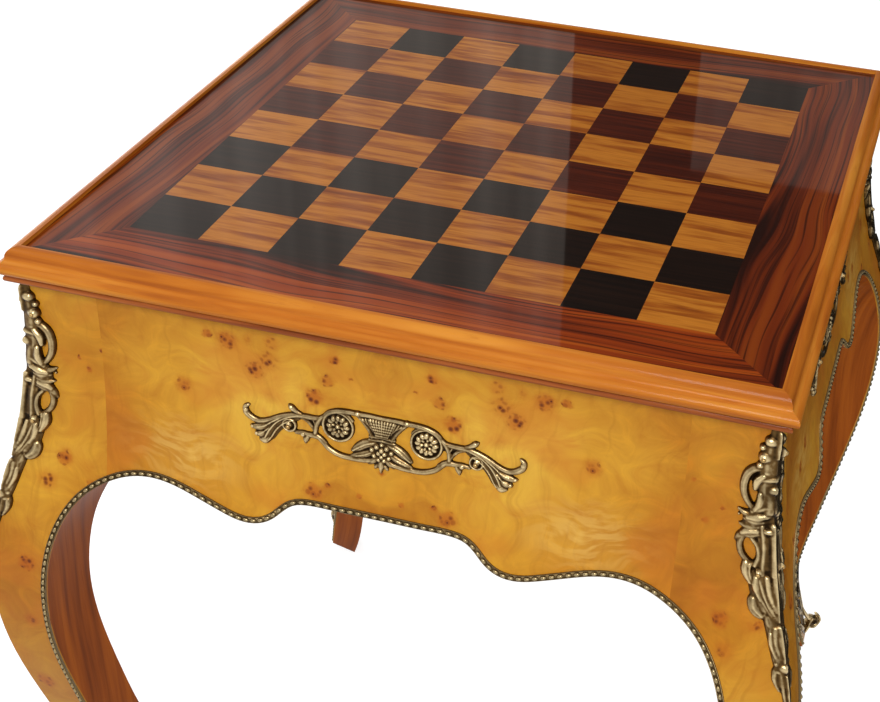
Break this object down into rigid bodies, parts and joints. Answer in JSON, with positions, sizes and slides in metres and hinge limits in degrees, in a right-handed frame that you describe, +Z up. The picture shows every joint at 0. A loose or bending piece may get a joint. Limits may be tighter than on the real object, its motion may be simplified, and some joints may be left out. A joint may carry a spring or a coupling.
{
  "type": "chess table",
  "caption": "Square chess table on four cabriole legs, with an inlaid gloss board in a moulded rim, burl veneered scalloped aprons, beaded brass trim and cast brass mounts.",
  "frame": {"origin": "on the floor under the middle of the table", "axes": "+Z up, -Y towards the player's side whose near right square is light, +X to that player's right"},
  "size_m": [0.6474, 0.6474, 0.7232],
  "materials": {
    "plywood": "birch plywood, raw edges hidden",
    "backing_veneer": "plain balancing veneer, matt",
    "light_veneer": "golden striped veneer under gloss lacquer",
    "black_veneer": "black stained veneer under gloss lacquer",
    "brown_veneer": "dark red brown veneer under gloss lacquer",
    "rosewood_veneer": "red brown rosewood with dark streaks under gloss lacquer",
    "rim_wood": "orange brown moulding, gloss lacquer",
    "bed_wood": "brown bead moulding, satin lacquer",
    "frame_wood": "red brown stained hardwood, satin lacquer",
    "burl_veneer": "golden burl veneer with dark knots, gloss lacquer",
    "bead_brass": "aged brass beading, bright on the beads",
    "mount_brass": "aged cast brass, dark in the hollows",
    "softwood": "plain planed softwood",
    "glide_plastic": "dark nylon glide",
    "screw_steel": "zinc plated steel"
  },
  "bodies": {
    "root": {"board_panel": "plywood", "backing_veneer": "backing_veneer", "light_squares": "light_veneer", "black_squares": "black_veneer", "brown_squares": "brown_veneer", "border_strip_front": "rosewood_veneer", "border_strip_right": "rosewood_veneer", "border_strip_back": "rosewood_veneer", "border_strip_left": "rosewood_veneer", "rim_moulding_front": "rim_wood", "rim_moulding_right": "rim_wood", "rim_moulding_back": "rim_wood", "rim_moulding_left": "rim_wood", "bed_moulding_front": "bed_wood", "bed_moulding_right": "bed_wood", "bed_moulding_back": "bed_wood", "bed_moulding_left": "bed_wood", "apron_front": "frame_wood", "apron_right": "frame_wood", "apron_back": "frame_wood", "apron_left": "frame_wood", "apron_veneer_front": "burl_veneer", "apron_veneer_right": "burl_veneer", "apron_veneer_back": "burl_veneer", "apron_veneer_left": "burl_veneer", "bead_trim_front": "bead_brass", "bead_trim_right": "bead_brass", "bead_trim_back": "bead_brass", "bead_trim_left": "bead_brass", "apron_mount_front": "mount_brass", "apron_mount_right": "mount_brass", "apron_mount_back": "mount_brass", "apron_mount_left": "mount_brass", "leg_front_left": "frame_wood", "leg_front_right": "frame_wood", "leg_back_right": "frame_wood", "leg_back_left": "frame_wood", "leg_veneer_front_left": "burl_veneer", "leg_veneer_front_right": "burl_veneer", "leg_veneer_back_right": "burl_veneer", "leg_veneer_back_left": "burl_veneer", "corner_mount_front_left": "mount_brass", "corner_mount_front_right": "mount_brass", "corner_mount_back_right": "mount_brass", "corner_mount_back_left": "mount_brass", "foot_mount_front_left": "mount_brass", "foot_mount_front_right": "mount_brass", "foot_mount_back_right": "mount_brass", "foot_mount_back_left": "mount_brass", "corner_brace_front_left": "softwood", "corner_brace_front_right": "softwood", "corner_brace_back_right": "softwood", "corner_brace_back_left": "softwood", "cleats": "softwood", "foot_glides": "glide_plastic", "top_screws": "screw_steel", "brace_screws": "screw_steel", "mount_pins": "mount_brass"}
  },
  "joints": []
}
